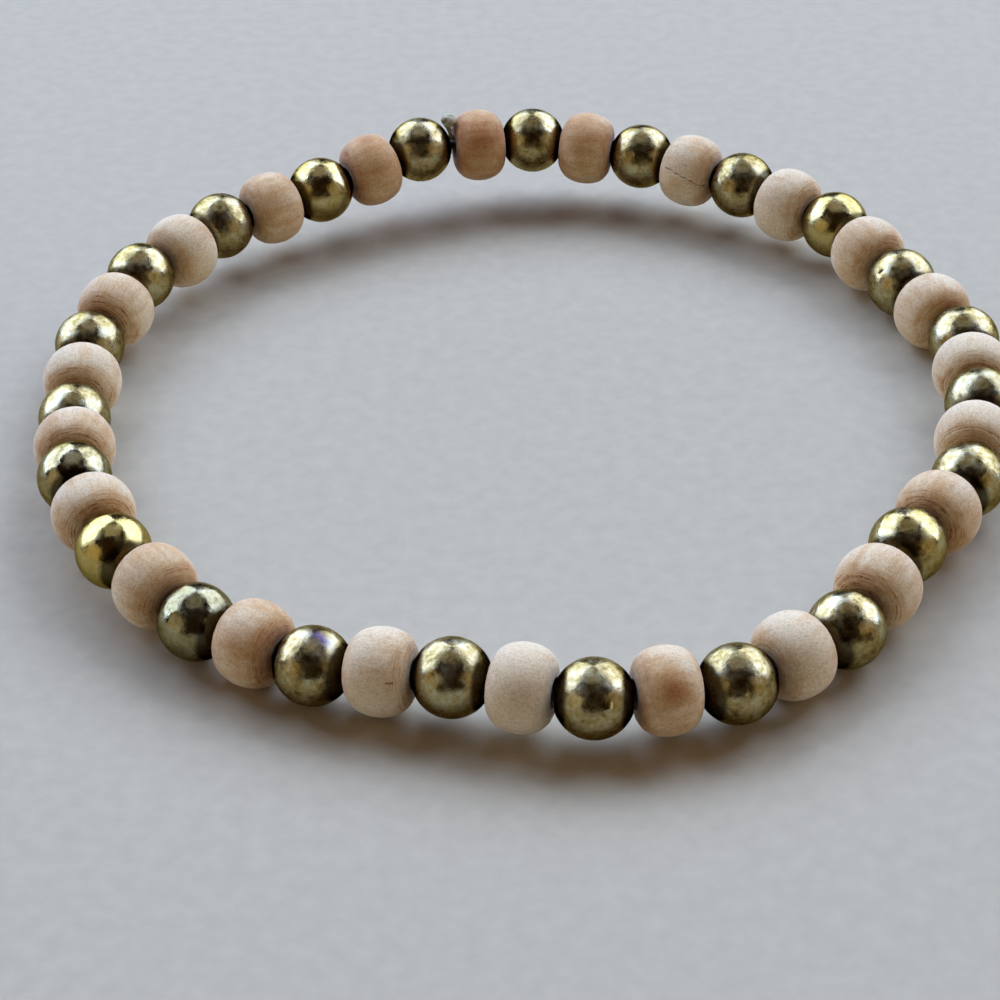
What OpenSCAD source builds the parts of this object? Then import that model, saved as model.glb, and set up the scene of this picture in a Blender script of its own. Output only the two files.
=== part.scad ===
// Beaded stretch bracelet: round metal beads and turned wooden beads take turns on a clear elastic cord.
// It lies on a surface at z = 0, with the back of the loop towards +Y. All sizes are in millimetres.

/* [Metal beads] */
// Diameter of a metal bead
brass_d = 4.5; // [3.5:0.1:7]
// Diameter of a metal bead's hole
brass_hole_d = 1.33; // [1.3:0.01:1.6]

/* [Wooden beads] */
// Diameter of a wooden bead at its middle
wood_d = 5; // [4.4:0.1:8]
// Length of a wooden bead along the string
wood_len = 3.6; // [3.2:0.1:4.6]
// Radius of the curve of a wooden bead's side, along the string
side_r = 2.6; // [2.4:0.1:5]
// Radius of the round shoulder at each end of a wooden bead
shoulder_r = 1.3; // [0.8:0.05:1.5]
// Diameter of a wooden bead's hole; the metal beads rest against its rims
wood_hole_d = 1.6; // [1.4:0.05:1.9]

/* [String] */
// Number of pairs of one metal and one wooden bead
pairs = 23; // [17:1:31]
// Diameter of the elastic cord
cord_d = 0.6; // [0.4:0.05:0.7]
// Extra length of the one joint that holds the knot
knot_room = 0.25; // [0.2:0.05:0.5]
// Height of the highest metal bead of the loop above the resting ones
loop_lift = 2.4; // [0:0.1:4]
// Angle of the first metal bead, clockwise from the back
start_angle = 6.2; // [0:0.1:15]

/* [Knot] */
// Diameter of the knot
knot_d = 1.1; // [0.9:0.05:1.3]
// Length of the cut end, from the middle of the knot
knot_tail = 1; // [0.7:0.05:1.4]
// Angle of the knot round the string, from the top towards the outer side of the loop
knot_angle = 8; // [-20:1:60]

/* [Clearances] */
// Gap between a metal bead and the rim of the hole that it rests against
rim_gap = 0.06; // [0.05:0.01:0.15]
// Gap between the knot and what it lies against
knot_gap = 0.05; // [0.04:0.01:0.08]

/* [Hidden] */
// Route of the string, chosen by hand: a row for each metal bead, clockwise from the back.
// Its columns are the distance from the middle of the loop, as a share of the loop's radius,
// and the height above the resting beads, as a share of loop_lift.
ROUTE = [
    [0.995, 0.75], [0.995, 0.5], [0.99, 0.35], [1.005, 0.2],
    [0.995, 0], [1.035, 0], [1.035, 0.2], [1.045, 0.1],
    [1.03, 0.2], [1.095, -0.05], [1.125, 0.05], [1.1, 0.25],
    [1.015, 0.2], [1.01, 0], [0.995, 0], [0.975, 0.3],
    [0.945, 0.35], [0.92, -0.05], [0.935, 0.1], [0.94, 0.35],
    [0.935, 0.4], [0.915, 0.5], [0.955, 0.9]
];
REACH = 0;
LIFT = 1;

// Sides of the round surfaces and of the cord
bead_fn = 64;
cord_sides = 8;

brass_r = brass_d / 2;
wood_r = wood_d / 2;
cord_r = cord_d / 2;
brass_hole_r = brass_hole_d / 2;
wood_hole_r = wood_hole_d / 2;

// From the middle of a metal bead to the middle of the wooden bead beside it
half_pitch = wood_len / 2 + sqrt(pow(brass_r + rim_gap, 2) - pow(wood_hole_r, 2));

// Middle of the shoulder's arc in the outline of a wooden bead: along the hole, and out from it
shoulder_along = wood_len / 2 - shoulder_r;
shoulder_out = wood_r - side_r + sqrt(pow(side_r - shoulder_r, 2) - pow(shoulder_along, 2));

function unit(v) = v / norm(v);
function before(list, i) = list[(i + len(list) - 1) % len(list)];
function after(list, i) = list[(i + 1) % len(list)];
function mix(a, b, share) = a + (b - a) * share;

// The route at metal bead i: the table's own rows, or between them when the number of pairs differs
function route_at(i) =
    let (place = i * len(ROUTE) / pairs, row = floor(place))
    mix(ROUTE[row % len(ROUTE)], ROUTE[(row + 1) % len(ROUTE)], place - row);

route = [for (i = [0 : pairs - 1]) route_at(i)];
height = [for (stop = route) stop[LIFT] * loop_lift];

// Distance from each metal bead to the next, and the same seen from above
chord = [for (i = [0 : pairs - 1]) 2 * half_pitch + (i == pairs - 1 ? knot_room : 0)];
flat_chord = [for (i = [0 : pairs - 1]) sqrt(pow(chord[i], 2) - pow(after(height, i) - height[i], 2))];

// Angles that the chords take up, seen from the middle, when the loop has a given radius
function steps(radius) = [
    for (i = [0 : pairs - 1])
        let (near = route[i][REACH] * radius, far = after(route, i)[REACH] * radius)
        acos((near * near + far * far - pow(flat_chord[i], 2)) / (2 * near * far))
];
function total(list) = list * [for (value = list) 1];

// The loop's radius is the one at which the last bead meets the first
function closing_radius(low, high, rounds) =
    let (middle = (low + high) / 2)
    rounds == 0 ? middle
    : total(steps(middle)) > 360 ? closing_radius(middle, high, rounds - 1)
    : closing_radius(low, middle, rounds - 1);

round_radius = total(chord) / (2 * PI);
loop_r = closing_radius(0.7 * round_radius, 1.5 * round_radius, 40);
step = steps(loop_r);
bearing = [for (i = 0, a = start_angle; i < pairs; a = a + step[i], i = i + 1) a];

// Middles of the metal beads, before the loop is centred
brass_raw = [
    for (i = [0 : pairs - 1])
        let (reach = route[i][REACH] * loop_r)
        [reach * sin(bearing[i]), reach * cos(bearing[i]), height[i]]
];
wood_axis = [for (i = [0 : pairs - 1]) unit(brass_raw[i] - before(brass_raw, i))];
wood_raw = [for (i = [0 : pairs - 1]) brass_raw[i] - half_pitch * wood_axis[i]];

// How far a wooden bead reaches from its middle, when its hole leans by a given share of its direction
function wood_reach(lean) =
    let (across = sqrt(1 - lean * lean))
    abs(lean) * (side_r - shoulder_r) < shoulder_along ? side_r + (wood_r - side_r) * across
    : shoulder_r + shoulder_out * across + shoulder_along * abs(lean);

// The outer box of all beads sets the origin: its middle from above, and its lowest point
function low_side(axis) = min([
    for (i = [0 : pairs - 1])
        min(brass_raw[i][axis] - brass_r, wood_raw[i][axis] - wood_reach(wood_axis[i][axis]))
]);
function high_side(axis) = max([
    for (i = [0 : pairs - 1])
        max(brass_raw[i][axis] + brass_r, wood_raw[i][axis] + wood_reach(wood_axis[i][axis]))
]);
origin = [(low_side(0) + high_side(0)) / 2, (low_side(1) + high_side(1)) / 2, low_side(2)];
brass_at = [for (p = brass_raw) p - origin];
wood_at = [for (p = wood_raw) p - origin];

// A metal bead's hole points from the wooden bead before it to the one after it
brass_axis = [for (i = [0 : pairs - 1]) unit(after(wood_at, i) - wood_at[i])];

// The cord runs straight through each bead, and bends only where two beads meet.
// There it lies halfway between the lines on which the two holes run.
cord_points = [
    for (i = [0 : pairs - 1], end = [-1, 1])
        brass_at[i] + end * brass_r * (brass_axis[i] + (end < 0 ? wood_axis[i] : after(wood_axis, i))) / 2
];

// The knot lies in the groove between the last metal bead and the shoulder of the first wooden one.
// It touches both but for its gap. Seen from the middle of the metal bead, that gives its place
// out from the string and along it, on a line towards the shoulder and a line square to that.
knot_r = knot_d / 2;
knot_joint = half_pitch + knot_room;
knot_to_brass = brass_r + knot_r + knot_gap;
knot_to_shoulder = shoulder_r + knot_r + knot_gap;
shoulder_at = [shoulder_out, knot_joint - shoulder_along];
shoulder_away = norm(shoulder_at);
knot_towards = (pow(shoulder_away, 2) + pow(knot_to_brass, 2) - pow(knot_to_shoulder, 2)) / (2 * shoulder_away);
knot_aside = sqrt(pow(knot_to_brass, 2) - pow(knot_towards, 2));
knot_at = knot_towards * unit(shoulder_at) + knot_aside * unit([shoulder_at[1], -shoulder_at[0]]);
knot_out = knot_at[0];
knot_along = knot_at[1];
// The flattened cord between the knot and the string fills the widened joint, clear of both beads
neck_inner_r = brass_r + knot_gap;
neck_outer_r = brass_r + rim_gap + knot_room * cos(asin(knot_out / knot_to_brass)) - knot_gap;
neck_w = cord_d;
last_bend_offset = brass_r * norm(brass_axis[pairs - 1] - wood_axis[0]) / 2;
neck_start = last_bend_offset + cord_r + knot_gap;

function two_digits(n) = str(n < 10 ? "0" : "", n);
function bead_name(kind, i) = str(kind, "_bead_", two_digits(i + 1));

// Moves its children to a place, with their Z axis along a direction
module along(place, axis) {
    translate(place)
        rotate([0, acos(axis[2] / norm(axis)), atan2(axis[1], axis[0])])
            children();
}

// Half the outline of a wooden bead: a curved side cut off flat at both ends, with round shoulders
module wood_outline() {
    side_middle = wood_r - side_r;
    line_out = side_r * unit([shoulder_out - side_middle, shoulder_along]);
    intersection() {
        translate([0, -wood_len / 2])
            square([wood_r, wood_len]);
        union() {
            difference() {
                translate([side_middle, 0])
                    circle(side_r, $fn = 2 * bead_fn);
                for (end = [-1, 1])
                    polygon([
                        [shoulder_out, end * shoulder_along],
                        [shoulder_out, end * 2 * wood_len],
                        [2 * wood_d, end * 2 * wood_len],
                        [shoulder_out + line_out[0], end * (shoulder_along + line_out[1])]
                    ]);
            }
            for (end = [-1, 1])
                translate([shoulder_out, end * shoulder_along])
                    circle(shoulder_r, $fn = bead_fn);
        }
    }
}

module wood_bead(i) {
    color([0.85, 0.75, 0.63])
        along(wood_at[i], wood_axis[i])
            difference() {
                rotate_extrude($fn = bead_fn)
                    wood_outline();
                cylinder(h = 2 * wood_len, r = wood_hole_r, center = true, $fn = bead_fn);
            }
}

module brass_bead(i) {
    color([0.72, 0.6, 0.33])
        along(brass_at[i], brass_axis[i])
            difference() {
                sphere(brass_r, $fn = bead_fn);
                cylinder(h = 2 * brass_d, r = brass_hole_r, center = true, $fn = bead_fn);
            }
}

// Points of the cord's ring at a corner of its route, level with the surface and square to the bend
function cord_ring(i) =
    let (
        way = unit(after(cord_points, i) - before(cord_points, i)),
        side = unit(cross(way, [0, 0, 1])),
        top = cross(side, way)
    )
    [
        for (k = [0 : cord_sides - 1])
            let (a = 360 * (k + 0.5) / cord_sides)
            cord_points[i] + cord_r * (cos(a) * side + sin(a) * top)
    ];

// A closed tube: each ring is joined to the next, and the last to the first
module stretch_cord() {
    rings = len(cord_points);
    points = [for (i = [0 : rings - 1]) each cord_ring(i)];
    faces = [
        for (i = [0 : rings - 1], k = [0 : cord_sides - 1])
            let (here = i * cord_sides, next = (i + 1) % rings * cord_sides, turn = (k + 1) % cord_sides)
            each [[here + k, here + turn, next + turn], [here + k, next + turn, next + k]]
    ];
    color([0.78, 0.8, 0.74])
        polyhedron(points = points, faces = faces, convexity = 8);
}

// Moves its children to the knot's joint: Z along the string, X up and leaning out by knot_angle
module at_knot_joint() {
    axis = wood_axis[0];
    along(brass_at[pairs - 1], axis)
        rotate([0, 0, 180 - knot_angle])
            children();
}

module cord_knot() {
    color([0.74, 0.77, 0.7])
        at_knot_joint()
            union() {
                translate([knot_out, 0, knot_along])
                    sphere(knot_r, $fn = 48);
                translate([knot_out, 0, knot_along])
                    rotate([90, 0, 0])
                        cylinder(h = knot_tail, r = cord_r * 0.8, $fn = 32);
                intersection() {
                    difference() {
                        sphere(neck_outer_r, $fn = bead_fn);
                        sphere(neck_inner_r, $fn = bead_fn);
                    }
                    translate([neck_start, -neck_w / 2, 0])
                        cube([knot_out - neck_start, neck_w, knot_joint]);
                }
            }
}

for (i = [0 : pairs - 1]) {
    wood_bead(i);
    brass_bead(i);
}
stretch_cord();
cord_knot();
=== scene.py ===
# %% [markdown]
# # A beaded stretch bracelet
#
# 23 small turned wooden beads and 23 round gold-toned metal beads take turns on one elastic cord.
# The cord is tied into a loop, and its knot sits between two beads at the back.
# This lesson dresses the measured CAD model of it: every bead becomes a finer mesh with its own
# wood grain or worn plating, and the loop is lit and seen as in the photograph.
#
# The frame comes first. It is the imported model, in metres, and nothing in it is moved.

# %% Load the measured frame
import math

import bpy
import numpy as np
from mathutils import Matrix, Vector


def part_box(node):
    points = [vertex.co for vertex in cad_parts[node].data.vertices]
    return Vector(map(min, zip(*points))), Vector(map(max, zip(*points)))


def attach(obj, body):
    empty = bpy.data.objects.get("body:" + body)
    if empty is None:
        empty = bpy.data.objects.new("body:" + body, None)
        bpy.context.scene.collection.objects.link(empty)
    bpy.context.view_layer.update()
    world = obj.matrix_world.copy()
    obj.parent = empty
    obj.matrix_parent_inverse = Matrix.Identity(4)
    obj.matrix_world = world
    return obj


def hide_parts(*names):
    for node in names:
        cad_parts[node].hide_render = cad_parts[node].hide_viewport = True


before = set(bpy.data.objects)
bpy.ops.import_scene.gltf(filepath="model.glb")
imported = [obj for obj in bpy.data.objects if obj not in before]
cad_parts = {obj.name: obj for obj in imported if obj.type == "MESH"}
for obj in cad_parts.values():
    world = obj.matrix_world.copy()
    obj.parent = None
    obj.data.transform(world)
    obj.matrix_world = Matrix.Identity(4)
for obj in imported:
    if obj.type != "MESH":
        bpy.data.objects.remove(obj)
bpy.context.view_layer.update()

MM = 0.001  # lengths below are in millimetres, and Blender's are in metres
PAIRS = 23  # a wooden and a metal bead make a pair
print("the frame has", len(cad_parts), "nodes")

# %% [markdown]
# ## Where each bead sits
#
# Every bead is the same from both ends, so the middle of its CAD box is its own middle.
# A wooden bead's hole runs from the metal bead before it to the one after it, and a metal bead's
# hole runs between its two wooden neighbours. That gives all the places without a table of numbers.

# %% Bead places and the way their holes run
def middle_of(node):
    low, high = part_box(node)
    return (low + high) / 2


numbers = range(1, PAIRS + 1)
wood_at = [middle_of(f"wood_bead_{n:02d}") for n in numbers]
metal_at = [middle_of(f"brass_bead_{n:02d}") for n in numbers]
wood_way = [(metal_at[i] - metal_at[i - 1]).normalized() for i in range(PAIRS)]
metal_way = [(wood_at[(i + 1) % PAIRS] - wood_at[i]).normalized() for i in range(PAIRS)]
string_length = sum((metal_at[i] - metal_at[i - 1]).length for i in range(PAIRS))
print("the string is", round(string_length / MM, 1), "mm long")

# %% Standing a bead in its place
def stand(place, way):
    """Where a bead stands: its X runs along the hole, its Y points out of the loop, its Z points up."""
    out = Vector((0, 0, 1)).cross(way).normalized()
    turn = Matrix((way, out, way.cross(out))).transposed().to_4x4()
    return Matrix.Translation(place) @ turn


print("the first hole leans", round(math.degrees(math.asin(wood_way[0].z)), 1), "degrees up")

# %% [markdown]
# ## The camera
#
# The photograph was taken from close by, 156 mm away and 36 degrees above the table, so beads in
# front look a third bigger than beads at the back. The lens and place were worked out from the
# outlines of the beads. The slight roll is how the camera was held.

# %% Camera
ELEVATION = math.radians(36.0)
ROLL = math.radians(-2.206)
DISTANCE = 156.34 * MM
LOOKED_AT = Vector((-1.812, -11.026, 2.5)) * MM
FOCAL_PIXELS = 2631.3  # the lens, in pixels of a picture 1000 pixels wide
PICTURE_PIXELS = 1000

forward = Vector((0, math.cos(ELEVATION), -math.sin(ELEVATION)))
level = Vector((1, 0, 0))
upright = level.cross(forward)
right = math.cos(ROLL) * level + math.sin(ROLL) * upright
up = math.cos(ROLL) * upright - math.sin(ROLL) * level

lens = bpy.data.cameras.new("photo_camera")
lens.sensor_width = 36.0
lens.lens = FOCAL_PIXELS / PICTURE_PIXELS * lens.sensor_width
lens.clip_start, lens.clip_end = 0.01, 50.0
camera = bpy.data.objects.new("photo_camera", lens)
camera.matrix_world = Matrix.Translation(LOOKED_AT - DISTANCE * forward) @ Matrix(
    (right, up, -forward)
).transposed().to_4x4()
bpy.context.collection.objects.link(camera)
bpy.context.scene.camera = camera
print("the lens is", round(lens.lens, 1), "mm on a 36 mm sensor")

# %% [markdown]
# ## Colours and nodes
#
# Colours are written as sRGB hex, the way a colour picker shows them, and one function turns them
# to the linear values that Blender's shaders work with. One more function adds a node with its
# settings and its links, which keeps each material down to a readable list.

# %% Two helpers for materials
def linear(hex_colour):
    parts = [int(hex_colour[k : k + 2], 16) / 255 for k in (1, 3, 5)]
    return [p / 12.92 if p <= 0.04045 else ((p + 0.055) / 1.055) ** 2.4 for p in parts] + [1.0]


def add(tree, kind, settings=None, links=None, stops=None):
    """Adds a node. settings sets its options or unlinked inputs. links joins its inputs to sockets, or
    to nodes, which stand for their first output in use. stops gives a colour ramp's places and colours."""
    node = tree.nodes.new("ShaderNode" + kind)
    for key, value in (settings or {}).items():
        if isinstance(key, str) and key not in node.inputs:
            setattr(node, key, value)
        else:
            node.inputs[key].default_value = value
    for key, source in (links or {}).items():
        if isinstance(source, bpy.types.Node):
            source = next(output for output in source.outputs if output.enabled)
        tree.links.new(source, node.inputs[key])
    for n, (place, colour) in enumerate(stops or []):
        stop = node.color_ramp.elements[n] if n < 2 else node.color_ramp.elements.new(place)
        stop.position, stop.color = place, linear(colour)
    return node


print("middle grey, #808080, is", round(linear("#808080")[0], 3), "in linear light")

# %% [markdown]
# ## Flecks
#
# A picture of wood or of plating would repeat on 23 beads. Noise doesn't: Blender works it out at
# each point, from the bead's own millimetres, and each bead's number moves it to another part of
# the noise. How many flecks fit in a millimetre, along the hole and across it, sets their size.

# %% A new material, and its flecks
def new_material(name):
    material = bpy.data.materials.new(name)
    material.use_nodes = True
    material.node_tree.nodes.clear()
    return material, material.node_tree


def flecks(tree, kinds):
    """Noise for each kind of fleck: how many fit in a mm along the hole, out and up, detail and roughness."""
    place = add(tree, "Attribute", {"attribute_name": "grain_at"})
    made = {}
    for kind, (per_mm, detail, roughness) in kinds.items():
        spread = add(tree, "VectorMath", {"operation": "MULTIPLY", 1: per_mm}, {0: place.outputs["Vector"]})
        settings = {"Scale": 1.0, "Detail": detail, "Roughness": roughness}
        made[kind] = add(tree, "TexNoise", settings, {"Vector": spread})
    return made


WOOD_FLECKS = {
    "streaks": ((0.35, 2.4, 2.4), 3.0, 0.5),  # streaks along the hole, 3 mm long and 0.4 mm wide
    "fibres": ((3.0, 13.0, 13.0), 3.0, 0.6),  # single fibres, 0.08 mm wide
    "clouds": ((0.5, 0.5, 0.5), 3.0, 0.5),  # patches of 2 mm
    "fuzz": ((7.0, 7.5, 7.5), 2.0, 0.65),  # torn fuzz of 0.13 mm
}
PLATING_FLECKS = {
    "wear": ((0.9, 0.9, 0.9), 4.0, 0.6),  # clouds of thinner plating, about 1 mm across
    "patches": ((2.0, 2.0, 2.0), 2.0, 0.5),  # duller places of 0.5 mm
    "mottle": ((3.2, 3.2, 3.2), 3.0, 0.6),  # mottled spots of 0.3 mm
    "speckle": ((10.0, 10.0, 10.0), 2.0, 0.5),  # dark specks of 0.1 mm
}
most_per_mm = max(max(kind[0]) for kind in (*WOOD_FLECKS.values(), *PLATING_FLECKS.values()))
print("the finest fleck is", round(1 / most_per_mm, 2), "mm wide")

# %% [markdown]
# ## The wood
#
# The wooden beads are small turned beads of a pale close-grained wood, left without varnish.
# Bare wood is matt: it has no highlight, only a soft bright edge from its fuzz of fibres.
# Close up it is cream, and browner towards the drilled ends, where end grain is darker and painted shade
# darkens it more where the beads meet. It has streaks along the hole, torn dark fuzz, and broken darker rings
# where the cutter ran round the ends. The rings follow the outline of the bead, so each point of the mesh
# carries its distance along that outline.

# %% Turning marks
def turning_marks(tree, outline_mm, ringed, fuzz):
    """Thin broken rings round the ends, about 0.1 mm apart along the outline."""
    place = add(tree, "Attribute", {"attribute_name": "grain_at"})
    parts = add(tree, "SeparateXYZ", {}, {0: place.outputs["Vector"]})
    along = add(tree, "Math", {"operation": "MULTIPLY", 1: 11.0}, {0: outline_mm})
    out, up = [add(tree, "Math", {"operation": "MULTIPLY", 1: 0.7}, {0: parts.outputs[k]}) for k in (1, 2)]
    ring_at = add(tree, "CombineXYZ", {}, {0: along, 1: out, 2: up})
    noise = add(tree, "TexNoise", {"Scale": 1.0, "Detail": 1.5, "Roughness": 0.5}, {"Vector": ring_at})
    ring = add(tree, "MapRange", {"From Min": 0.53, "From Max": 0.62, "To Max": 0.8}, {"Value": noise})
    end_part = add(tree, "MapRange", {"From Min": 0.8, "From Max": 1.6}, {"Value": outline_mm})
    dashes = add(tree, "MapRange", {"From Min": 0.42, "From Max": 0.58, "To Min": 0.1}, {"Value": fuzz})
    for share in (end_part, dashes, ringed):
        ring = add(tree, "Math", {"operation": "MULTIPLY"}, {0: ring, 1: share})
    return ring


# %% Wood colour
def wood_colour(tree, fleck, carried):
    tone = carried["brownness"]
    for source, start, stop, least, most in (
        (fleck["streaks"], 0.3, 0.7, -0.09, 0.09),
        (fleck["clouds"], 0.3, 0.7, -0.15, 0.15),
        # browner towards the ends: end grain, and painted shade where the beads meet
        (carried["outline_mm"], 0.9, 2.3, 0.0, 0.22),  # browner towards the ends
    ):
        places = {"From Min": start, "From Max": stop, "To Min": least, "To Max": most}
        more = add(tree, "MapRange", places, {"Value": source})
        tone = add(tree, "Math", {"operation": "ADD"}, {0: tone, 1: more})
    rings = turning_marks(tree, carried["outline_mm"], carried["ringed"], fleck["fuzz"])
    tone = add(tree, "Math", {"operation": "MULTIPLY_ADD", 1: 0.7}, {0: rings, 2: tone})
    colour = add(
        tree, "ValToRGB", {}, {"Fac": tone},
        stops=[(0.0, "#F3E2C0"), (1.0, "#744624"), (0.15, "#EACFA5"), (0.32, "#DBB581"), (0.6, "#C18952")],
    )
    for source, start, stop, least, most, strength in (
        (fleck["fibres"], 0.3, 0.55, 0.82, 1.04, 0.7),
        (fleck["fuzz"], 0.32, 0.58, 0.83, 1.07, 1.0),
    ):
        places = {"From Min": start, "From Max": stop, "To Min": least, "To Max": most}
        shade = add(tree, "MapRange", places, {"Value": source})
        multiply = {"data_type": "RGBA", "blend_type": "MULTIPLY", 0: strength}
        colour = add(tree, "Mix", multiply, {6: colour, 7: shade})
    return colour


# %% Unvarnished turned wood
def unvarnished_wood():
    material, tree = new_material("unvarnished_turned_maple")
    carried = {
        name: add(tree, "Attribute", {"attribute_name": name}).outputs["Fac"]
        for name in ("brownness", "hole_darkening", "ringed", "from_crack", "outline_mm")
    }
    fleck = flecks(tree, WOOD_FLECKS)
    # darker in the hole, on its rim, along the crack and on the fleck: the colour is mixed towards dark brown
    # there
    cracked = add(
        tree, "MapRange", {"From Min": 0.03, "From Max": 0.09, "To Min": 0.85, "To Max": 0.0},
        {"Value": carried["from_crack"]},
    )
    dark = add(tree, "Math", {"operation": "MAXIMUM"}, {0: carried["hole_darkening"], 1: cracked})
    darkening_mix = {"data_type": "RGBA", 7: linear("#4A2D1A")}
    darkened_wood = add(tree, "Mix", darkening_mix, {0: dark, 6: wood_colour(tree, fleck, carried)})
    rough = add(tree, "MapRange", {"To Min": 0.75, "To Max": 0.98}, {"Value": fleck["fibres"]})
    height = add(tree, "Math", {"operation": "MULTIPLY_ADD", 1: 0.6}, {0: fleck["fuzz"], 2: fleck["fibres"]})
    height = add(tree, "Math", {"operation": "MULTIPLY_ADD", 1: -1.5}, {0: cracked, 2: height})
    bump = add(tree, "Bump", {"Strength": 0.45, "Distance": 0.03 * MM}, {"Height": height})
    shader = add(
        tree, "BsdfPrincipled",
        {"IOR": 1.5, "Specular IOR Level": 0.35, "Sheen Weight": 0.36, "Sheen Roughness": 0.35,
         "Sheen Tint": linear("#F0F3FF"), "Subsurface Weight": 0.1, "Subsurface Radius": (0.8, 0.55, 0.3),
         "Subsurface Scale": 0.45 * MM},
        {"Base Color": darkened_wood, "Roughness": rough, "Normal": bump},
    )
    add(tree, "OutputMaterial", {}, {"Surface": shader})
    return material


wood_finish = unvarnished_wood()
print("made", wood_finish.name, "from", len(wood_finish.node_tree.nodes), "nodes")

# %% [markdown]
# ## The plating
#
# The metal beads are dark polished beads with a thin gold-toned plating, a little worn.
# Polished metal is all reflection: a bright patch is a window, a dark one is the room. The plating
# gives the reflections their yellow. Wear gives them soft mottled edges and dark specks. Towards both
# holes, where the wooden beads meet them, the plating is darker: painted shade, standing for the dark
# reflection of the shaded wood ends. A few beads are yellower, greyer or better polished
# than the rest, and one has a violet patch of tarnish: each bead's mesh carries numbers for that.
# Metal is full metallic with the default IOR, so the colour sets how much it returns.

# %% Plating colour
def plating_colour(tree, fleck, carried, dark):
    thinner = add(tree, "Math", {"operation": "MULTIPLY_ADD", 1: 0.6}, {0: fleck["mottle"], 2: fleck["wear"]})
    worn = add(tree, "MapRange", {"From Min": 0.55, "From Max": 1.05}, {"Value": thinner})
    colour = add(
        tree, "ValToRGB", {}, {"Fac": worn},
        stops=[(0.0, "#554530"), (0.85, "#AEA77F"), (0.3, "#8C7A46"), (0.55, "#A29060")],
    )
    specks = add(
        tree, "MapRange", {"From Min": 0.6, "From Max": 0.72, "To Max": 0.38}, {"Value": fleck["speckle"]}
    )
    # a painted highlight: the nib is coloured pale gold so that it shows bright
    nib_highlight = add(
        tree, "MapRange", {"From Min": 0.06, "From Max": 0.1, "To Min": 1.0, "To Max": 0.0},
        {"Value": carried["from_nib"]},
    )
    # dark puts painted shade at the mouths, and the dark bead in the pit
    for share, layer in (
        (specks, "#3A2D18"), (carried["gilding"], "#C2AB5C"), (carried["greyness"], "#6A7058"),
        (carried["tarnish"], "#3B2E4C"), (dark, "#231A10"), (nib_highlight, "#F0D890"),
    ):
        colour = add(tree, "Mix", {"data_type": "RGBA", 7: linear(layer)}, {0: share, 6: colour})
    return colour


# %% Where the plating is darkened: painted shade at the mouths, and a pit
def mouth_shade_and_pit(tree, fleck, carried):
    """1 where the plating is darkened: with painted shade towards both mouths, where the wooden beads meet
    it, and in a pit, where the dark bead shows.
    """
    mouth_shade = add(
        tree, "Math", {"operation": "MULTIPLY_ADD", 1: 0.5}, {0: fleck["mottle"], 2: carried["mouth_shade"]}
    )
    mouth_darkening = add(tree, "MapRange", {"From Min": 0.55, "From Max": 1.0, "To Max": 0.85}, {"Value": mouth_shade})
    in_pit = add(
        tree, "MapRange", {"From Min": 0.07, "From Max": 0.13, "To Min": 0.97, "To Max": 0.0},
        {"Value": carried["from_pit"]},
    )
    return add(tree, "Math", {"operation": "MAXIMUM"}, {0: mouth_darkening, 1: in_pit})


def dented_height(tree, fleck):
    """Flat dents of about 0.7 mm with bent outlines, which break up the reflections, and finer ripples."""
    place = add(tree, "Attribute", {"attribute_name": "grain_at"})
    bend = add(tree, "VectorMath", {"operation": "SCALE", "Scale": 0.5}, {0: fleck["patches"]})
    bent = add(tree, "VectorMath", {"operation": "ADD"}, {0: place.outputs["Vector"], 1: bend})
    dents = add(tree, "TexVoronoi", {"feature": "F1", "Scale": 1.3}, {"Vector": bent})
    rippled = add(tree, "Math", {"operation": "MULTIPLY_ADD", 1: 0.8}, {0: dents, 2: fleck["mottle"]})
    return add(tree, "Math", {"operation": "MULTIPLY_ADD", 1: 0.08}, {0: fleck["speckle"], 2: rippled})


# %% Worn gold-toned plating
def worn_plating():
    material, tree = new_material("worn_gold_toned_plating")
    carried = {
        name: add(tree, "Attribute", {"attribute_name": name}).outputs["Fac"]
        for name in ("mouth_shade", "from_pit", "from_nib", "tarnish", "greyness", "gilding", "polish")
    }
    fleck = flecks(tree, PLATING_FLECKS)
    dark = mouth_shade_and_pit(tree, fleck, carried)
    dull = add(
        tree, "MapRange", {"From Min": 0.3, "From Max": 0.7, "To Min": 0.17, "To Max": 0.38},
        {"Value": fleck["patches"]},
    )
    rough = add(tree, "Math", {"operation": "MULTIPLY_ADD", 1: -0.1}, {0: carried["polish"], 2: dull})
    height = dented_height(tree, fleck)
    bump = add(tree, "Bump", {"Strength": 0.38, "Distance": 0.04 * MM}, {"Height": height})
    # the edge tint goes dark with the same painted shade at the mouths, and in the pit
    edge = add(tree, "Mix", {"data_type": "RGBA", 6: linear("#C8BFA4"), 7: linear("#2E2519")}, {0: dark})
    shader = add(
        tree, "BsdfPrincipled", {"Metallic": 1.0},
        {"Base Color": plating_colour(tree, fleck, carried, dark), "Roughness": rough, "Normal": bump,
         "Specular Tint": edge},
    )
    add(tree, "OutputMaterial", {}, {"Surface": shader})
    return material


plating = worn_plating()
print("made", plating.name, "from", len(plating.node_tree.nodes), "nodes")

# %% [markdown]
# ## The elastic
#
# The cord is clear polyurethane elastic, 0.6 mm thick, with an IOR of about 1.5. It has gone cloudy
# and green-grey. The cord through the beads has a dark copy of it as painted shade, since it lies in the
# shade between them; the knot has the pale one.

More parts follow.
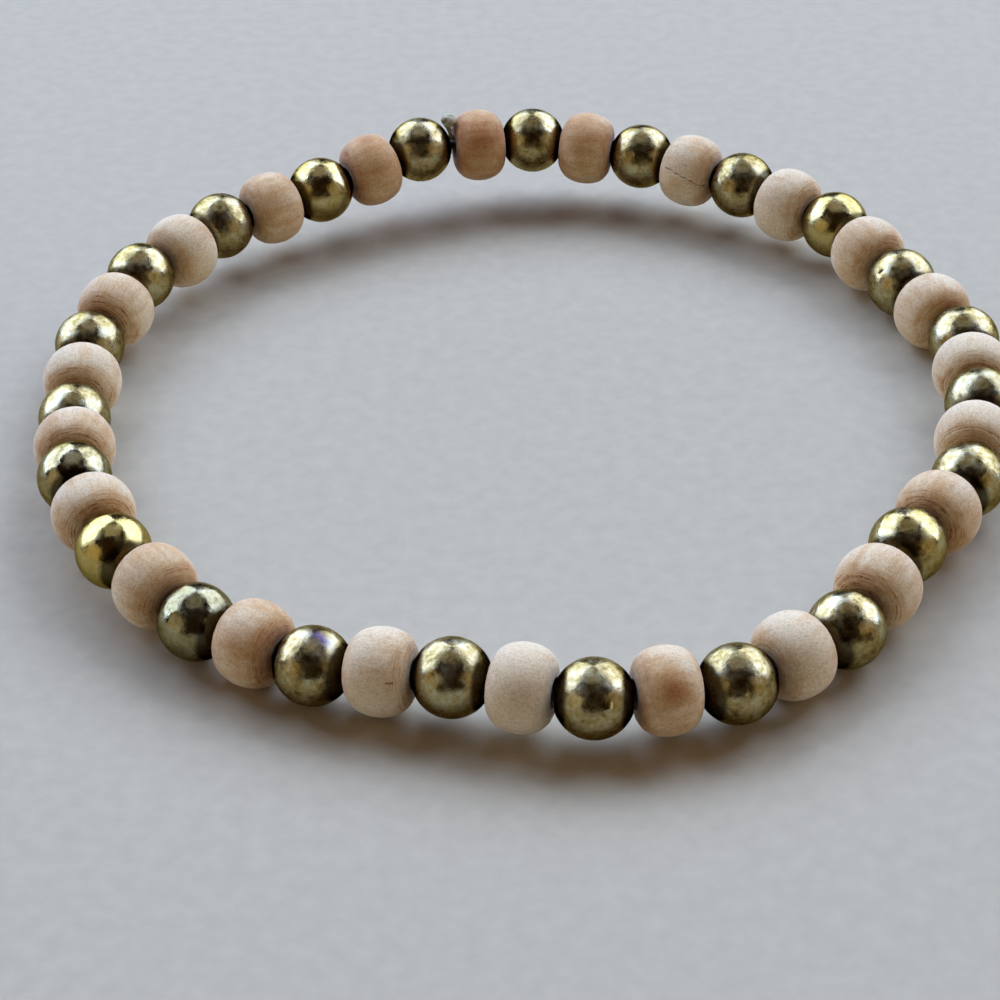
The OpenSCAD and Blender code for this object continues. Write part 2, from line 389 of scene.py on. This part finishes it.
# %% Clear elastic
def clear_elastic(name, dark, light):
    material, tree = new_material(name)
    where = add(tree, "TexCoord")
    # clouds of about 0.5 mm: 2200 in a metre
    haze = add(tree, "TexNoise", {"Scale": 2200.0, "Detail": 3.0}, {"Vector": where.outputs["Object"]})
    colour = add(tree, "ValToRGB", {}, {"Fac": haze}, stops=[(0.35, dark), (0.7, light)])
    bump = add(tree, "Bump", {"Strength": 0.3, "Distance": 0.02 * MM}, {"Height": haze})
    shader = add(
        tree, "BsdfPrincipled",
        {"IOR": 1.5, "Roughness": 0.65, "Specular IOR Level": 0.2, "Subsurface Weight": 0.6,
         "Subsurface Radius": (1.0, 0.95, 0.8), "Subsurface Scale": 0.3 * MM},
        {"Base Color": colour, "Normal": bump},
    )
    add(tree, "OutputMaterial", {}, {"Surface": shader})
    return material


elastic = clear_elastic("cloudy_polyurethane_elastic", "#A6A58B", "#CCC8AE")
# painted shade: a dark copy of the elastic for the cord that runs through the beads
shaded_elastic = clear_elastic("shaded_polyurethane_elastic", "#3A3226", "#5A5040")
print("made", elastic.name, "and", shaded_elastic.name)

# %% [markdown]
# ## Turning a bead
#
# Both kinds of bead are turned shapes, so both are made as on a lathe: an outline of points
# (distance along the hole, distance from the hole's middle) is carried round in equal steps.
# A modifier could do it, but in code every point can also be pushed in or out by a few hundredths
# of a millimetre, and can carry values that the material reads.

# %% The lathe
def turned(name, outline, steps, relief, values, number):
    """A mesh object turned from a closed outline in mm. relief(points, angles) pushes the surface out,
    values(points, angles) gives the numbers that the material reads at each point, and number picks
    the part of the noise that its grain comes from."""
    outline = np.array(outline)
    along = np.roll(outline, -1, 0) - np.roll(outline, 1, 0)
    along /= np.linalg.norm(along, axis=1, keepdims=True)
    angles = 2 * math.pi * np.arange(steps) / steps
    spin = np.stack([np.sin(angles), np.cos(angles)], 1)

    def carried_round(pairs):
        whole = np.empty((len(pairs), steps, 3))
        whole[..., 0] = pairs[:, 0, None]
        whole[..., 1:] = pairs[:, 1, None, None] * spin[None]
        return whole

    points = carried_round(outline)
    facing = carried_round(np.stack([-along[:, 1], along[:, 0]], 1))
    surface = points + facing * relief(points, angles)[..., None]

    rings = len(outline)
    ring, step = np.meshgrid(np.arange(rings), np.arange(steps), indexing="ij")
    after, beside = (ring + 1) % rings, (step + 1) % steps
    corners = [ring * steps + step, after * steps + step, after * steps + beside, ring * steps + beside]
    faces = np.stack(corners, -1).reshape(-1, 4)

    mesh = bpy.data.meshes.new(name)
    mesh.from_pydata((surface.reshape(-1, 3) * MM).tolist(), [], faces.tolist())
    mesh.shade_smooth()
    grain_at = (points + np.random.default_rng(number).uniform(0, 200, 3)).astype(np.float32)
    mesh.attributes.new("grain_at", "FLOAT_VECTOR", "POINT").data.foreach_set("vector", grain_at.ravel())
    for key, value in values(points, angles).items():
        flat = np.broadcast_to(np.asarray(value, np.float32), points.shape[:2]).ravel().copy()
        mesh.attributes.new(key, "FLOAT", "POINT").data.foreach_set("value", flat)
    return bpy.data.objects.new(name, mesh)


def place_bead(bead, place, way, material, node):
    bead.matrix_world = stand(place, way)
    bpy.context.collection.objects.link(bead)
    bead.data.materials.append(material)
    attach(bead, "root")
    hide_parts(node)


# %% Outlines, lumps and marks
def arc(centre, radius, start, end, count):
    """Points on an arc, from start to end degrees; 0 points along the hole and 90 straight out."""
    angles = np.radians(np.linspace(start, end, count))
    return [(centre[0] + radius * math.cos(a), centre[1] + radius * math.sin(a)) for a in angles]


def ripples(points, size, seed, waves=22):
    """Smooth random lumps between about -1 and 1, from plane waves. size is a lump in mm: one number,
    or three for along, out and up."""
    chance = np.random.default_rng(seed)
    ways = chance.normal(size=(waves, 3))
    ways *= (chance.uniform(0.5, 1.5, waves) * math.pi / np.linalg.norm(ways, axis=1))[:, None]
    lumps = np.sin((points / np.asarray(size)) @ ways.T + chance.uniform(0, 2 * math.pi, waves))
    return lumps.sum(-1) * math.sqrt(2 / waves) * 0.6


FAR = 9.0  # mm: further than any mark reaches


def distance_to(points, path):
    """Distance in mm from each point to a path of straight pieces, in the bead's own directions."""
    nearest = np.full(points.shape[:2], FAR)
    for start, end in zip(path, path[1:]):
        start, way = np.array(start), np.array(end) - start
        share = np.clip((points - start) @ way / (way @ way), 0, 1)
        nearest = np.minimum(nearest, np.linalg.norm(points - start - share[..., None] * way, axis=-1))
    return nearest


print("a quarter turn of 2 mm ends at", [round(float(k), 2) for k in arc((0, 0), 2, 0, 90, 10)[-1]])

# %% [markdown]
# ## The wooden beads
#
# Each is a 5 mm ball turned short, 3.6 mm long, with wide round shoulders and small flat ends.
# The metal beads rest against the rims of its drilled hole.
# The cutter and the sanding leave the barrel a little uneven, so no two outlines are quite the same.

# %% Outline of a wooden bead
# the CAD model's own sizes, in mm: half the thickness, half the length, and three radii
WOOD_R, WOOD_HALF = 2.5, 1.8
SIDE_R, SHOULDER_R, WOOD_HOLE_R = 2.6, 1.3, 0.8
RIM = 0.04  # the broken edge of the hole

shoulder_x = WOOD_HALF - SHOULDER_R
side_middle = WOOD_R - SIDE_R
shoulder_out = side_middle + math.sqrt((SIDE_R - SHOULDER_R) ** 2 - shoulder_x**2)
meeting = math.degrees(math.atan2(shoulder_out - side_middle, shoulder_x))

right_end = (
    arc((shoulder_x, shoulder_out), SHOULDER_R, meeting, 0, 34)[1:]
    + [(WOOD_HALF, r) for r in np.linspace(shoulder_out, WOOD_HOLE_R + RIM, 6)[1:]]
    + [(WOOD_HALF - RIM, WOOD_HOLE_R)]
)
left_end = [(-x, r) for x, r in reversed(right_end)]
side = arc((0, side_middle), SIDE_R, 180 - meeting, meeting, 30)
bore = [(x, WOOD_HOLE_R) for x in np.linspace(WOOD_HALF - RIM, RIM - WOOD_HALF, 5)[1:-1]]
wood_outline = np.array(side + right_end + bore + left_end)


def travelled(points):
    """Distance along the outline from the thickest place, in mm: up to 1 on the side, 2.6 at the flat end."""
    x, radius = np.abs(points[..., 0]), np.hypot(points[..., 1], points[..., 2])
    side_turn = math.radians(90 - meeting)
    on_side = np.minimum(np.arctan2(x, radius - side_middle), side_turn)
    round_shoulder = np.arctan2(x - shoulder_x, radius - shoulder_out)
    on_shoulder = np.clip(round_shoulder, side_turn, math.pi / 2) - side_turn
    return SIDE_R * on_side + SHOULDER_R * on_shoulder + np.clip(shoulder_out - radius, 0, None)


print("the outline of a wooden bead has", len(wood_outline), "points")

# %% [markdown]
# No two wooden beads look the same. How brown each one is, and how plainly its rings show, was
# matched where the photograph shows it, and is chance on the rest. One bead has a hairline
# crack, one has a dark fleck and two have a browner patch.

# %% What sets the wooden beads apart
# beads 2 and 23, at the back of the loop, are set browner partly as painted shade, as the back of the loop
# lies darker
BROWNNESS = {1: 0.42, 2: 0.3, 12: 0.17, 13: -0.12, 14: 0.02, 15: 0.22, 16: 0.16, 23: 0.32}
RINGS_SHOW = {
    7: 1.2, 8: 1.3, 9: 1.0, 10: 1.2, 11: 0.3, 13: 0.1, 16: 0.6, 17: 1.2, 18: 1.0, 19: 1.2, 20: 1.1
}
# the crack and the fleck, as paths in mm along, out and up
CRACKS = {
    3: [(-1.03, -2.04, 1.01), (-0.37, -2.27, 0.99), (0.30, -2.34, 0.82), (1.03, -2.21, 0.57),
        (1.37, -2.0, 0.28), (1.85, -1.4, 0.0)],
    14: [(-0.93, 2.12, 0.97), (-1.25, 1.97, 0.89)],
}
# the browner patches: middle, size in mm and how much browner
PATCHES = {1: ((-0.2, -2.2, 1.1), 0.7, 0.25), 12: ((0.07, 1.99, 1.51), 0.8, 0.35)}

tones = np.random.default_rng(5).uniform(0.0, 0.2, PAIRS + 1)
ringed = np.random.default_rng(6).uniform(0.2, 0.7, PAIRS + 1)
lengths = np.random.default_rng(8).uniform(0.985, 1.01, PAIRS + 1)
lengths[1] = 0.97  # the bead beside the knot is a little shorter
print("the lengths of the wooden beads differ by up to", round(3.6 * np.ptp(lengths[1:]), 2), "mm")

# %% Wooden beads
def wood_relief(number):
    """How far the surface of one bead stands out, in mm: uneven sanding, fibres, cut rings and a crack."""
    def relief(points, angles):
        radius = np.hypot(points[..., 1], points[..., 2])
        outside = np.clip((radius - 0.86) / 0.15, 0, 1)  # 0 in the hole and on its rim
        lumps = 0.03 * ripples(points, 3.0, number) + 0.005 * ripples(points, (0.9, 0.2, 0.2), 100 + number)
        chance = np.random.default_rng(200 + number)
        cut = np.zeros(radius.shape)
        path = np.sign(points[..., 0]) * travelled(points)
        for end in (-1, 1):
            for _ in range(3):
                place = end * chance.uniform(1.5, 2.6)
                depth, width = chance.uniform(0.006, 0.02), chance.uniform(0.03, 0.045)
                start = chance.uniform(0, 2 * math.pi)
                fade = np.clip(0.4 + np.cos(angles - start), 0, 1)
                cut -= depth * fade * np.exp(-(((path - place) / width) ** 2))
        if number in CRACKS:
            cut -= 0.04 * np.exp(-((distance_to(points, CRACKS[number]) / 0.05) ** 2))
        return outside * (lumps + cut)

    return relief


def wood_values(number):
    """What the wood material reads at each point of one bead."""
    def values(points, angles):
        radius = np.hypot(points[..., 1], points[..., 2])
        brownness = BROWNNESS.get(number, tones[number])
        if number in PATCHES:
            middle, size, more = PATCHES[number]
            brownness = brownness + more * np.exp(-((np.linalg.norm(points - middle, axis=-1) / size) ** 2))
        return {
            "brownness": brownness,
            "outline_mm": travelled(points),
            "ringed": RINGS_SHOW.get(number, ringed[number]),
            # darker in the hole and on its rim
            "hole_darkening": 0.8 * np.clip((0.9 - radius) / 0.08, 0, 1),  # in the hole and on its rim
            "from_crack": distance_to(points, CRACKS.get(number, [])),
        }

    return values


for n in numbers:
    outline = wood_outline * (lengths[n], 1)
    bead = turned(f"turned_wood_bead_{n:02d}", outline, 100, wood_relief(n), wood_values(n), n)
    place_bead(bead, wood_at[n - 1], wood_way[n - 1], wood_finish, f"wood_bead_{n:02d}")
print("a wooden bead has", 2 * len(bead.data.polygons), "triangles")

# %% [markdown]
# ## The metal beads
#
# Each is a 4.5 mm ball with a 1.33 mm hole, whose mouth is broken by a tiny bevel. One has a dark
# pit, and two have small raised nibs of plating, which carry a painted highlight.

# %% Outline of a metal bead, and what sets the beads apart
# the CAD model's own radii, and the width of the bevel, in mm
METAL_R, HOLE_R, BEVEL = 2.25, 0.665, 0.06
mouth = math.degrees(math.asin((HOLE_R + BEVEL) / METAL_R))
mouth_x = math.sqrt(METAL_R**2 - HOLE_R**2) - BEVEL
metal_outline = (
    arc((0, 0), METAL_R, 180 - mouth, mouth, 56)
    + [(x, HOLE_R) for x in np.linspace(mouth_x, -mouth_x, 8)]
)

# the pit, the nibs and the violet patch, as short paths in mm along, out and up
PITS = {5: [(-0.03, -1.83, 1.3), (0.07, -1.66, 1.51)]}
NIBS = {12: [(-0.9, 1.71, 1.15), (-0.9, 1.83, 0.95)], 11: [(0.56, 1.96, 0.97), (0.57, 1.97, 0.92)]}
TARNISH = {14: [(-0.95, 0.1, 2.05), (-0.4, -0.1, 2.2)]}
# how much the plating of whole beads differs: 0 is as the rest
WHOLE_BEADS = {
    "greyness": {15: 0.4, 17: 0.2, 7: 0.2},
    "gilding": {16: 0.6, 4: 0.4, 9: 0.2, 20: 0.1, 22: 0.3},
    "polish": {16: 0.8, 15: 0.8, 17: 0.7, 4: 0.6, 9: 0.4, 10: 0.3, 20: 0.2, 22: 0.5},
}
print("the outline of a metal bead has", len(metal_outline), "points")

# %% Metal beads
def metal_relief(number):
    """How far the surface of one bead stands out, in mm: faint lumps, a pit and nibs."""
    def relief(points, angles):
        radius = np.linalg.norm(points, axis=-1)
        outside = np.clip((radius - 2.2) / 0.04, 0, 1)  # 1 on the ball and 0 in the hole
        lumps = 0.005 * ripples(points, 1.6, 300 + number) + 0.002 * ripples(points, 0.8, 400 + number)
        lumps -= 0.06 * np.exp(-((distance_to(points, PITS.get(number, [])) / 0.1) ** 2))
        lumps += 0.05 * np.exp(-((distance_to(points, NIBS.get(number, [])) / 0.09) ** 2))
        return outside * lumps

    return relief


def metal_values(number):
    """What the plating material reads at each point of one bead."""
    def values(points, angles):
        whole = {name: beads.get(number, 0.0) for name, beads in WHOLE_BEADS.items()}
        return {
            # painted shade towards both mouths, where the wood meets the metal
            "mouth_shade": np.clip((np.abs(points[..., 0]) - 1.25) / 0.5, 0, 1),  # towards both mouths
            "tarnish": 0.9 * np.exp(-((distance_to(points, TARNISH.get(number, [])) / 0.4) ** 2)),
            "from_pit": distance_to(points, PITS.get(number, [])),
            "from_nib": distance_to(points, NIBS.get(number, [])),
            **whole,
        }

    return values


for n in numbers:
    bead = turned(f"plated_metal_bead_{n:02d}", metal_outline, 120, metal_relief(n), metal_values(n), 50 + n)
    place_bead(bead, metal_at[n - 1], metal_way[n - 1], plating, f"brass_bead_{n:02d}")
print("a metal bead has", 2 * len(bead.data.polygons), "triangles")

# %% [markdown]
# ## The cord and its knot
#
# The cord is pulled tight, so it runs straight through each bead and bends only where two beads
# meet. A curve through the same points as the CAD cord gives that line.

# %% Cord
CORD_R = 0.3
cord_curve = bpy.data.curves.new("elastic_cord", "CURVE")
cord_curve.dimensions = "3D"
cord_curve.bevel_depth = CORD_R * MM
cord_curve.bevel_resolution = 4
cord_line = cord_curve.splines.new("POLY")
cord_line.use_cyclic_u = True
cord_line.points.add(2 * PAIRS - 1)
bends = []
for i in range(PAIRS):
    bends.append(metal_at[i] - METAL_R * MM * (metal_way[i] + wood_way[i]) / 2)
    bends.append(metal_at[i] + METAL_R * MM * (metal_way[i] + wood_way[(i + 1) % PAIRS]) / 2)
for point, bend in zip(cord_line.points, bends):
    point.co = (*bend, 1.0)
cord = bpy.data.objects.new("elastic_cord", cord_curve)
bpy.context.collection.objects.link(cord)
cord.data.materials.append(shaded_elastic)
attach(cord, "root")
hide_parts("stretch_cord")
cord_length = sum((bends[i] - bends[i - 1]).length for i in range(len(bends)))
print("the cord's loop is", round(cord_length / MM, 1), "mm long")

# %% [markdown]
# The knot is an overhand knot, pulled so tight that it is hardly thicker than the cord. Its path
# comes up between the last metal bead and the first wooden one, goes once through itself, and
# ends in a short cut tail at the back.

# %% A tube along a path
def smooth_path(corners, per_piece):
    """A smooth line through the corners, by the usual cubic through four neighbours."""
    c = np.array([corners[0], *corners, corners[-1]], float)
    line = []
    for a, b, d, e in zip(c, c[1:], c[2:], c[3:]):
        for t in np.arange(per_piece) / per_piece:
            bend = (2 * a - 5 * b + 4 * d - e) * t**2 + (3 * b - a - 3 * d + e) * t**3
            line.append(0.5 * (2 * b + (d - a) * t + bend))
    return np.array(line + [c[-1]])


def swept(name, path, radii, sides):
    """A mesh tube along a smooth path in mm, closed at both ends."""
    ways = np.gradient(path, axis=0)
    ways /= np.linalg.norm(ways, axis=1, keepdims=True)
    across = np.cross(ways[0], (0.3, 0.5, 0.8))
    rings = []
    for point, way, radius in zip(path, ways, radii):
        across = across - (across @ way) * way
        across /= np.linalg.norm(across)
        beside = np.cross(way, across)
        turns = 2 * math.pi * np.arange(sides) / sides
        rings.append(point + radius * (np.cos(turns)[:, None] * across + np.sin(turns)[:, None] * beside))
    points = np.concatenate(rings + [path[:1], path[-1:]])
    count, faces = len(path), []
    for k in range(sides):
        n = (k + 1) % sides
        for r in range(count - 1):
            faces.append((r * sides + k, (r + 1) * sides + k, (r + 1) * sides + n, r * sides + n))
        faces.append((count * sides, k, n))
        faces.append((count * sides + 1, (count - 1) * sides + n, (count - 1) * sides + k))
    mesh = bpy.data.meshes.new(name)
    mesh.from_pydata((points * MM).tolist(), [], faces)
    mesh.shade_smooth()
    return bpy.data.objects.new(name, mesh)


print("a path of three corners becomes", len(smooth_path([(0, 0, 0), (1, 1, 0), (2, 0, 0)], 6)), "points")

# %% Knot
# the knot's own places, in mm from the middle of the last metal bead: along the string, out and up
knot_middle = np.array((2.12, 0.277, 1.93))
t = np.linspace(0.55, 2 * math.pi - 0.35, 22)
overhand = np.stack([np.sin(t) + 2 * np.sin(2 * t), np.cos(t) - 2 * np.cos(2 * t), -1.7 * np.sin(3 * t)], 1)
neck = [(2.3, 0.06, 0.5), (2.24, 0.11, 0.85), (2.17, 0.17, 1.2), (2.1, 0.22, 1.55)]
tail = [(2.1, 0.72, 1.87), (2.09, 1.0, 1.82), (2.12, 1.25, 1.8)]
knot_path = smooth_path([*neck, *(knot_middle + 0.1 * overhand), *tail], 6)

# thin in the neck, where the beads squeeze the cord, and rounded off at both cut ends
share = np.linspace(0, 1, len(knot_path))
thick = 0.26 - 0.11 * np.clip((0.16 - share) / 0.1, 0, 1) + 0.03 * np.clip((share - 0.85) / 0.05, 0, 1)
from_end = np.minimum(np.arange(len(share)), np.arange(len(share))[::-1])
thick *= np.sqrt(np.clip((from_end + 0.4) / 3, 0, 1))

knot = swept("tied_cord_knot", knot_path, thick, 20)
knot.matrix_world = stand(metal_at[-1], wood_way[0])
bpy.context.collection.objects.link(knot)
knot.data.materials.append(elastic)
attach(knot, "root")
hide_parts("cord_knot")
print("the knot has", 2 * len(knot.data.polygons), "triangles")

# %% [markdown]
# ## The floor
#
# The bracelet lies on a plain pale floor, a matt board with a fine tooth.

# %% Floor
def pale_board():
    material, tree = new_material("matt_pale_board")
    where = add(tree, "TexCoord")
    # tooth of about 1 mm: 900 in a metre
    tooth = add(tree, "TexNoise", {"Scale": 900.0, "Detail": 4.0}, {"Vector": where.outputs["Object"]})
    colour = add(tree, "ValToRGB", {}, {"Fac": tooth}, stops=[(0.3, "#C1BCAC"), (0.7, "#C9C4B3")])
    matt = {"IOR": 1.45, "Roughness": 0.9, "Specular IOR Level": 0.2}
    shader = add(tree, "BsdfPrincipled", matt, {"Base Color": colour})
    add(tree, "OutputMaterial", {}, {"Surface": shader})
    return material


REACH = 4.0  # metres from the middle to each side, past the edges of the picture
floor_mesh = bpy.data.meshes.new("floor")
floor_corners = [(-REACH, -REACH, 0), (REACH, -REACH, 0), (REACH, REACH, 0), (-REACH, REACH, 0)]
floor_mesh.from_pydata(floor_corners, [], [(0, 1, 2, 3)])
floor = bpy.data.objects.new("floor", floor_mesh)
floor.data.materials.append(pale_board())
bpy.context.collection.objects.link(floor)
print("the floor is", 2 * REACH, "m wide")

# %% [markdown]
# ## The light
#
# Two soft lights stand behind the bracelet, left and right, as two windows would, with a dark gap
# between them. Polished metal shows how big they are, and wood and floor show only where their
# light comes from. So each is made twice: a large panel for the shiny surfaces, which gives the
# bright patches on the metal, and a smaller and higher one for the matt ones, which gives the
# shadows their length and their soft edges. The room on the camera's side is dim and warm.

# %% Light panels
PANEL_AWAY = 1.2  # metres from the bracelet to each panel


def soft_panel(name, azimuth, elevation, width, height, brightness, colour, seen_by):
    """An area light that faces the bracelet. Azimuth 0 is straight behind it and 90 is to the right,
    brightness is what a mirror shows of it, and seen_by is the kind of surface that it lights."""
    az, el = math.radians(azimuth), math.radians(elevation)
    way = Vector((math.sin(az) * math.cos(el), math.cos(az) * math.cos(el), math.sin(el)))
    light = bpy.data.lights.new(name, "AREA")
    light.shape, light.size, light.size_y = "RECTANGLE", width, height
    light.energy = brightness * math.pi * width * height
    light.color = linear(colour)[:3]
    panel = bpy.data.objects.new(name, light)
    panel.location = PANEL_AWAY * way
    panel.rotation_mode = "QUATERNION"
    panel.rotation_quaternion = way.to_track_quat("Z", "Y")
    panel.visible_camera = False
    panel.visible_diffuse = seen_by == "matt"
    panel.visible_glossy = seen_by == "shiny"
    bpy.context.collection.objects.link(panel)


soft_panel("window_left", -48, 30, 1.7, 1.15, 8.0, "#ADC3FF", "shiny")
soft_panel("window_right", 52, 30, 1.7, 1.15, 6.8, "#B6C8FF", "shiny")
soft_panel("ceiling", 0, 78, 0.9, 0.9, 0.55, "#E4E8FF", "shiny")
soft_panel("room_left", -118, 17, 1.0, 0.9, 0.6, "#FFF2DC", "shiny")
soft_panel("room_right", 118, 17, 1.0, 0.9, 0.5, "#FFEED6", "shiny")
soft_panel("sky_left", -38, 44, 1.05, 0.75, 5.3, "#CEDFFF", "matt")
soft_panel("sky_right", 40, 44, 1.05, 0.75, 5.6, "#D4E3FF", "matt")
soft_panel("side_left", -100, 22, 1.0, 0.9, 0.7, "#FFDCAE", "matt")
soft_panel("side_right", 100, 22, 1.0, 0.9, 0.8, "#FFDCAE", "matt")
soft_panel("warm_room", 180, 45, 1.6, 1.0, 0.1, "#FFBE80", "matt")

world = bpy.data.worlds.new("dim_room")
bpy.context.scene.world = world
world.use_nodes = True
room = world.node_tree.nodes["Background"]
room.inputs["Color"].default_value = linear("#FFC896")
room.inputs["Strength"].default_value = 0.028
bpy.context.scene.view_settings.view_transform = "Standard"
print(len(bpy.data.lights), "soft lights and a dim room")
